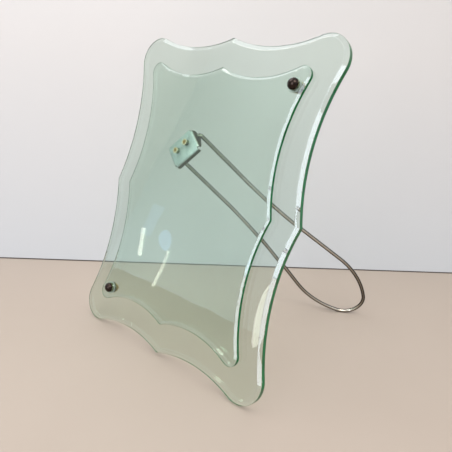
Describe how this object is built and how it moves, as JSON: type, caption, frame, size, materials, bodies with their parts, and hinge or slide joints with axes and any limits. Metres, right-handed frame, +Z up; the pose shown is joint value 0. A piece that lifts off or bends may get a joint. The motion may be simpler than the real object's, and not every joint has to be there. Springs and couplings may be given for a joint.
{
  "type": "glass photo frame",
  "caption": "Free-standing photo frame of two scalloped, bevelled glass panes clamped by corner studs, with a folding wire loop stand on the back.",
  "frame": {"origin": "middle of the part's box at table level, as the frame stands", "axes": "+Z up, +X to the right of someone facing the picture, -Y out of the front, +Y to the back, where the stand goes"},
  "size_m": [0.2394, 0.2246, 0.2957],
  "materials": {
    "pane_glass": "clear float glass, faintly green, with ground and polished edges and bevels",
    "bronzed_brass": "brass darkened to a deep brown, polished",
    "brass": "plain turned brass",
    "plated_steel": "zinc-plated folded sheet",
    "steel_wire": "drawn steel wire, dull nickel plate",
    "nylon": "pale nylon, slightly yellowed",
    "fibre": "vulcanised fibre",
    "clear_vinyl": "clear soft vinyl"
  },
  "bodies": {
    "root": {"back_pane": "pane_glass", "front_pane": "pane_glass", "clamp_studs": "brass", "clamp_sleeves": "brass", "pane_spacers": "clear_vinyl", "cap_washers": "fibre", "clamp_rear_washers": "brass", "clamp_rear_nuts": "brass", "bracket_screws": "brass", "screw_bushes": "nylon", "screw_washers": "plated_steel", "screw_nuts": "plated_steel", "hinge_bracket": "plated_steel"},
    "stand": {"wire_stand": "steel_wire"},
    "cap_top_right": {"cap_top_right": "bronzed_brass"},
    "cap_bottom_left": {"cap_bottom_left": "bronzed_brass"}
  },
  "joints": [
    {"name": "stand_fold", "type": "hinge", "parent": "root", "child": "stand", "pos_m": [-0.02963, -0.04098, 0.19301], "axis": [-0.7071, -0.2126, -0.6744], "range_deg": [0, 40.5]},
    {"name": "cap_top_right_turn", "type": "hinge", "parent": "root", "child": "cap_top_right", "pos_m": [0.08, -0.03852, 0.25636], "axis": [0, -0.9537, 0.3007], "continuous": true},
    {"name": "cap_bottom_left_turn", "type": "hinge", "parent": "root", "child": "cap_bottom_left", "pos_m": [-0.082, -0.10617, 0.04177], "axis": [0, -0.9537, 0.3007], "continuous": true}
  ]
}
